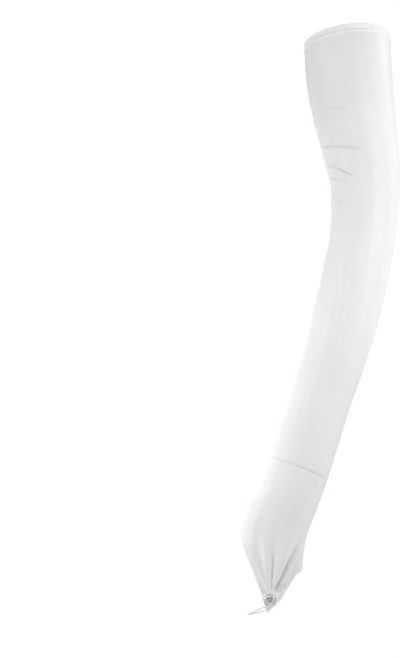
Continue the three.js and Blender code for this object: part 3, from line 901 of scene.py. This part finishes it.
def ribbon_petal(name, count, number, foot, flare, height):
    """One folded petal of a ring of count, already turned to its place in the ring."""
    share, climb = np.linspace(-1, 1, 49), np.linspace(0, 1, 13)
    flaring = np.gradient(flare * follow(petal_slope, "out", climb))
    lean_out = unit(np.stack([np.gradient(height * climb), -flaring], -1))
    lean_out = np.concatenate([lean_out, lean_out[::-1]])
    ups, sides = up_and_down(climb)
    thick = ribbon_fold / 2 * sides * brim(ups, 1.04, 0.16)
    thick = thick * (petal_ends + (1 - petal_ends) * (1 - share**4))
    ripple, small_ripple, dent = (
        high * np.sin(fast * share + start)
        for (high, fast), start in zip(petal_waves, chance.uniform(0, tau, 3))
    )
    angle = share * ((tau / count + petal_overreach) / 2) + tau * number / count
    radius = foot + flare * follow(petal_slope, "out", ups) + petal_lap * share
    radius = radius + ups**2 * (ripple + small_ripple) + thick * lean_out[:, :1]
    level = height * ups * (1 - petal_droop * share**2) + ups * dent + thick * lean_out[:, 1:]
    return strip_piece(name, on_seat(radius, angle, level + base_thickness + gap))


print("ribbons are ready")

# %% [markdown]
# The petals stand in two rings. The inner ones are fewer, stand steeper and reach higher, so that the
# rosette looks full.

# %% Set the petals in two rings
outer_height, inner_height, inner_flare = 0.0038, 0.0048, 0.8
inner_foot = bud_width / 2 + gap + ribbon / 2 + petal_lap
outer_foot = inner_foot + 2 * petal_lap + ribbon + gap
full_flare = rosette_width / 2 - ribbon / 2 - petal_lap - outer_foot


def petal_ring(ring, count, *shape):
    """All the petals of one ring."""
    return [ribbon_petal(f"{ring}_ribbon_petal_{n + 1}", count, n, *shape) for n in range(count)]


outer_petals = petal_ring("outer", 5, outer_foot, full_flare, outer_height)
inner_petals = petal_ring("inner", 3, inner_foot, inner_flare * full_flare, inner_height)
for petal in outer_petals + inner_petals:
    report(petal)

# %% [markdown]
# ## The bud
# In the middle of the rosette the ribbon is rolled up tight. A spiral shows this best: the strip winds
# round itself, lowest at its outer end, and opens towards its brim. It is folded and closed like the
# strip of a petal.

# %% Roll the bud
bud_height, bud_ribbon, bud_core = 0.0054, 0.0004, 0.00026
windings, bud_foot, bud_opening = 1.8, 0.9, 0.75
bud_droop, bud_thinning = 0.14, 0.8
share = np.linspace(0, 1, 73)
ups, sides = up_and_down(np.linspace(0, 1, 8))
thick = bud_thinning * sides * bud_ribbon / 2 * brim(ups, 1.05, 0.2)
roll = bud_core + (bud_width / 2 - bud_ribbon / 2 - bud_core) * share
radius = roll * (bud_foot + bud_opening * ups**2) + thick
level = bud_height * ups * (1 - bud_droop * share) + base_thickness + gap
bud = strip_piece("rolled_bud", on_seat(radius, tau * windings * share, level))
report(bud)

# %% [markdown]
# ## The finger loop
# Behind the point a loop of thin covered elastic goes round the middle finger. It would be quick to
# bend a torus, but the real loop hangs in its own lazy shape, so it follows a smooth closed curve
# through a few stops, which say how far aside, back and up they lie as shares of the loop's width.
# The thread wound round the elastic shows as fine ribs.

# %% Bend the finger loop
loop_width, loop_thickness = 0.020, 0.0012
loop_turn, loop_at = 0.248, 0.99
hand_hem_thickness = 0.0018
rib_pitch, rib_height = 0.0007, 0.07
upright = np.array([0.3, 0.1, 1.0])
loop_stops = [
    (0.0, 0.0, 0.0), (-0.28, 0.04, -0.12), (-0.62, 0.05, -0.28), (-0.9, 0.24, -0.44),
    (-0.86, 0.62, -0.5), (-0.48, 0.86, -0.46), (-0.06, 0.7, -0.34), (0.1, 0.3, -0.14),
]
loop_start = cloth_point(loop_turn, loop_at, -(hand_hem_thickness + gap + loop_thickness / 2))
route = loop_start + loop_width * round_curve(loop_stops, 80)
along = unit(np.roll(route, -1, 0) - np.roll(route, 1, 0))
run = np.cumsum(np.linalg.norm(route - np.roll(route, 1, 0), axis=1))
ribs = round(run[-1] / rib_pitch)
reach = loop_thickness / 2 * (1 + rib_height * np.cos(tau * ribs * run / run[-1]))
tube, beside, above = rings_round(route, along, upright, reach, 10)
finger_loop = grid_piece("elastic_finger_loop", tube, closed_rows=True, closed_columns=True)
print("elastic of", round(1000 * run[-1]), "mm with", ribs, "ribs")
report(finger_loop)

# %% [markdown]
# The loop is sewn to the back of the hem with a few turns of thread over the elastic. These are
# stitches too, so the same helper lays them: each one arches over the loop.

# %% Sew on the loop
tacks = [-5, -3, -1, 1, 3, 5]
tack_lift = 0.0001
arch = np.linspace(-0.25 * np.pi, 1.25 * np.pi, 11)[None, :, None]
bow = np.cos(arch) * beside[tacks][:, None] + np.sin(arch) * above[tacks][:, None]
tack_lines = route[tacks][:, None] + (loop_thickness / 2 + tack_lift) * bow
tack_normals = np.broadcast_to(along[tacks][:, None], bow.shape)
loop_tack = thread_piece("loop_tack_thread", tack_lines, tack_normals, thin_thread)
report(loop_tack)

# %% [markdown]
# ## Small helpers for finishes
# A finish is a tree of shader nodes. Building it by hand in the editor is quick, but in a script each
# node and link is a line. So one helper does a sum, one makes even ribs and one colours the shader by
# a value. Numbers that are the same all over the cloth are set on the shader itself.

# %% Help with shader nodes
def work_out(tree, operation, *values):
    """The result of a sum of one, two or three values."""
    node = add_node(tree, "Math", operation=operation)
    for socket, value in zip(node.inputs, values):
        fill(tree, socket, value)
    return node.outputs[0]


def even_ribs(tree, across, count):
    """A wave with so many ribs while a UV goes from 0 to 1."""
    return work_out(tree, "SINE", work_out(tree, "MULTIPLY", across, tau * count))


def colour_by(tree, shader, value, *stops):
    """Colour the shader by a value, with two stops of a place on the ramp and its colour."""
    ramp = add_node(tree, "ValToRGB", Fac=value)
    for element, (position, tone) in zip(ramp.color_ramp.elements, stops):
        element.position = position
        element.color = (*tone, 1)
    fill(tree, shader.inputs["Base Color"], ramp.outputs["Color"])


def plain_finish(name, roughness, sheen, gloss):
    """A material with the numbers that are the same all over, its tree and its shader."""
    finish = bpy.data.materials.new(name)
    finish.use_nodes = True
    shader = finish.node_tree.nodes["Principled BSDF"]
    numbers = {"Roughness": roughness, "Sheen Weight": sheen, "Specular IOR Level": gloss}
    for head, number in {**numbers, "Sheen Roughness": 0.35}.items():
        shader.inputs[head].default_value = number
    return finish, finish.node_tree, shader


print("finish helpers are ready")

# %% [markdown]
# ## Stretch satin
# Satin looks smooth and gleams softly, because long threads float over its surface. Near by, the knit
# behind it shows as fine rows. The colour drifts a little between two whites at random, and painted
# shade makes it deeper in the creases and the valleys of the gathers, where shade falls. A fine bump of
# rows follows the UVs, with a whole number of rows round the glove, so that no seam shows. A wide soft
# bump gives long streaks, in real coordinates, so that it runs unbroken over sleeve and hems alike.

# %% Mix the satin
rows_round = 420
# Depths of a crease and of a gather valley at which their painted shade is full.
crease_for_full_shade, valley_for_full_shade = 0.0016, 0.004


def satin_finish(name, light_tone, drift_and_shade_tone, rows_along):
    """Knitted satin with so many rows of loops along the piece, and painted shade where the crease
    attribute is high.
    """
    finish, tree, shader = plain_finish(name, roughness=0.4, sheen=0.3, gloss=0.45)
    place = add_node(tree, "TexCoord")
    drift = add_node(tree, "TexNoise", Vector=place.outputs["Object"], Scale=26.0, Detail=3.0)
    # Painted shade: the crease attribute darkens the colour in creases and gather valleys.
    crease = add_node(tree, "Attribute", attribute_name="crease")
    half_drift = work_out(tree, "MULTIPLY", drift.outputs["Fac"], 0.5)
    tone = work_out(tree, "ADD", half_drift, crease.outputs["Fac"])
    colour_by(tree, shader, tone, (0.1, light_tone), (1.0, drift_and_shade_tone))

    rows = add_node(tree, "SeparateXYZ", Vector=place.outputs["UV"])
    wale = even_ribs(tree, rows.outputs["X"], rows_round)
    course = even_ribs(tree, rows.outputs["Y"], rows_along)
    loops = work_out(tree, "ADD", wale, work_out(tree, "MULTIPLY", course, 0.45))
    knit = add_node(tree, "Bump", Strength=0.22, Distance=0.00006, Height=loops)

    stretched = add_node(tree, "Mapping", Vector=place.outputs["Object"], Scale=(150.0, 150.0, 14.0))
    streak = add_node(tree, "TexNoise", Vector=stretched.outputs["Vector"], Scale=1.0, Detail=2.0)
    pull = add_node(tree, "Bump", Strength=0.5, Distance=0.0004, Height=streak.outputs["Fac"])
    fill(tree, pull.inputs["Normal"], knit.outputs["Normal"])
    fill(tree, shader.inputs["Normal"], pull.outputs["Normal"])
    return finish


def store_painted_shade(piece, turn, at):
    """Store painted shade on each point, from 0 to 1, by how deep it lies in a crease or gather valley.
    """
    crease_shade_share = np.clip(crease_depth(turn, at) / crease_for_full_shade, 0, 1)
    gather_valley_shade = np.clip(-gather_lift(turn, at) / valley_for_full_shade, 0, 1)
    deep = np.clip(crease_shade_share + gather_valley_shade, 0, 1).reshape(-1)
    layer = piece.data.attributes.new("crease", "FLOAT", "POINT")
    values = np.zeros(len(piece.data.vertices), "f")
    values[: len(deep)] = deep
    layer.data.foreach_set("value", values)


# The deeper tone comes from random drift, and on the sleeve also from painted shade.
sleeve_satin = satin_finish("stretch_satin", (0.77, 0.768, 0.757), (0.67, 0.672, 0.67), 1150)
hem_satin = satin_finish("hem_satin", (0.83, 0.83, 0.828), (0.74, 0.742, 0.745), 34)
store_painted_shade(sleeve, turns, places)
print("satin for the sleeve and the hems")

# %% [markdown]
# ## Ribbon satin
# The rosette's ribbon is woven, with fine ribs across its width and a brighter gloss than the knit.
# The ribs follow the UVs: their first number runs along the ribbon. It is a little whiter than the
# glove. Light soaks through so thin a ribbon, so a little of it scatters below the surface, and the
# hollows between the petals stay light.

# %% Mix the ribbon satin
def ribbon_finish(name, tone, ribs_along):
    """Woven satin ribbon with fine ribs across it."""
    finish, tree, shader = plain_finish(name, roughness=0.32, sheen=0.25, gloss=0.5)
    place = add_node(tree, "TexCoord")
    drift = add_node(tree, "TexNoise", Vector=place.outputs["Object"], Scale=300.0, Detail=2.0)
    darker = [0.93 * part for part in tone]
    colour_by(tree, shader, drift.outputs["Fac"], (0.3, tone), (0.8, darker))
    shader.inputs["Subsurface Weight"].default_value = 0.7
    shader.inputs["Subsurface Radius"].default_value = (1.0, 1.0, 1.0)
    shader.inputs["Subsurface Scale"].default_value = 0.0015
    along_ribbon = add_node(tree, "SeparateXYZ", Vector=place.outputs["UV"])
    weave = even_ribs(tree, along_ribbon.outputs["X"], ribs_along)
    bump = add_node(tree, "Bump", Strength=0.3, Distance=0.00005, Height=weave)
    fill(tree, shader.inputs["Normal"], bump.outputs["Normal"])
    return finish


ribbon_satin = ribbon_finish("ribbon_satin", (0.88, 0.88, 0.885), 34)
print("satin for the ribbon")

# %% [markdown]
# ## Elastic and thread
# The finger loop's elastic is covered with wound thread, which is duller than satin and a touch
# warmer. The ribs are already in its mesh, so its finish only adds the fine twist of the thread. The
# sewing thread itself is a plain matt white with the same twist.

# %% Mix the elastic and the thread
def thread_finish(name, tone, twist):
    """Matt thread with a fine twist, in turns for each metre."""
    finish, tree, shader = plain_finish(name, roughness=0.65, sheen=0.4, gloss=0.3)
    place = add_node(tree, "TexCoord")
    fuzz = add_node(tree, "TexNoise", Vector=place.outputs["Object"], Scale=twist, Detail=3.0)
    darker = [0.86 * part for part in tone]
    colour_by(tree, shader, fuzz.outputs["Fac"], (0.25, darker), (0.7, tone))
    bump = add_node(tree, "Bump", Strength=0.4, Distance=0.00005, Height=fuzz.outputs["Fac"])
    fill(tree, shader.inputs["Normal"], bump.outputs["Normal"])
    return finish


covered_elastic = thread_finish("covered_elastic", (0.8, 0.79, 0.77), 4000.0)
sewing_thread = thread_finish("sewing_thread", (0.78, 0.785, 0.8), 5000.0)
print("elastic and thread")

# %% [markdown]
# ## Putting the glove together
# Every piece now gets its finish, and the plain solids that it stands for are hidden. All pieces ride
# on the one body of the glove, so a change of place in the model takes them along. The stitches stand
# for no solid of their own.

# %% Finish every piece and seat it
def seat_piece(piece, finish, slot, *solids):
    """Give a piece its finish, seat it on the glove's body and hide the plain solids that it stands
    for.
    """
    piece.data.materials.append(finish)
    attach(piece, "root")
    if solids:
        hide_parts(*solids)


seat_piece(sleeve, sleeve_satin, "satin", "sleeve")
seat_piece(top_hem, hem_satin, "hem_satin", "top_hem")
seat_piece(hand_hem, hem_satin, "hem_satin", "hand_hem")
seat_piece(top_stitching, sewing_thread, "hem_satin")
seat_piece(hand_stitching, sewing_thread, "hem_satin")
seat_piece(rosette_base, ribbon_satin, "ribbon", "rosette_base")
for ring, petals in (("outer", outer_petals), ("inner", inner_petals)):
    for n, petal in enumerate(petals):
        seat_piece(petal, ribbon_satin, "ribbon", f"rosette_{ring}_petal_{n + 1}")
seat_piece(bud, ribbon_satin, "ribbon", "rosette_bud")
seat_piece(finger_loop, covered_elastic, "elastic", "finger_loop")
seat_piece(loop_tack, sewing_thread, "elastic")
print("all pieces ride on the glove")

# %% [markdown]
# ## The flat cut
# Before it was sewn, the sleeve was one flat piece of satin: as wide as the glove is round at the
# upper arm, a little less for the stretch, and as long as the glove. Its sides narrow towards the
# wrist and its end is cut to a point, so its area is smaller than that of the full rectangle.

# %% [markdown]
# ## The last look
# The dressed glove should be as large as the plain model, apart from what cloth may stand proud. Both
# boxes are printed.

# %% Print the sizes
look_box = [list(corner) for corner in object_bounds()]
for name, box in (("plain model", cad_box), ("dressed glove", look_box)):
    print(name, "mm:", [round(1000 * (high - low), 1) for low, high in zip(*box)])
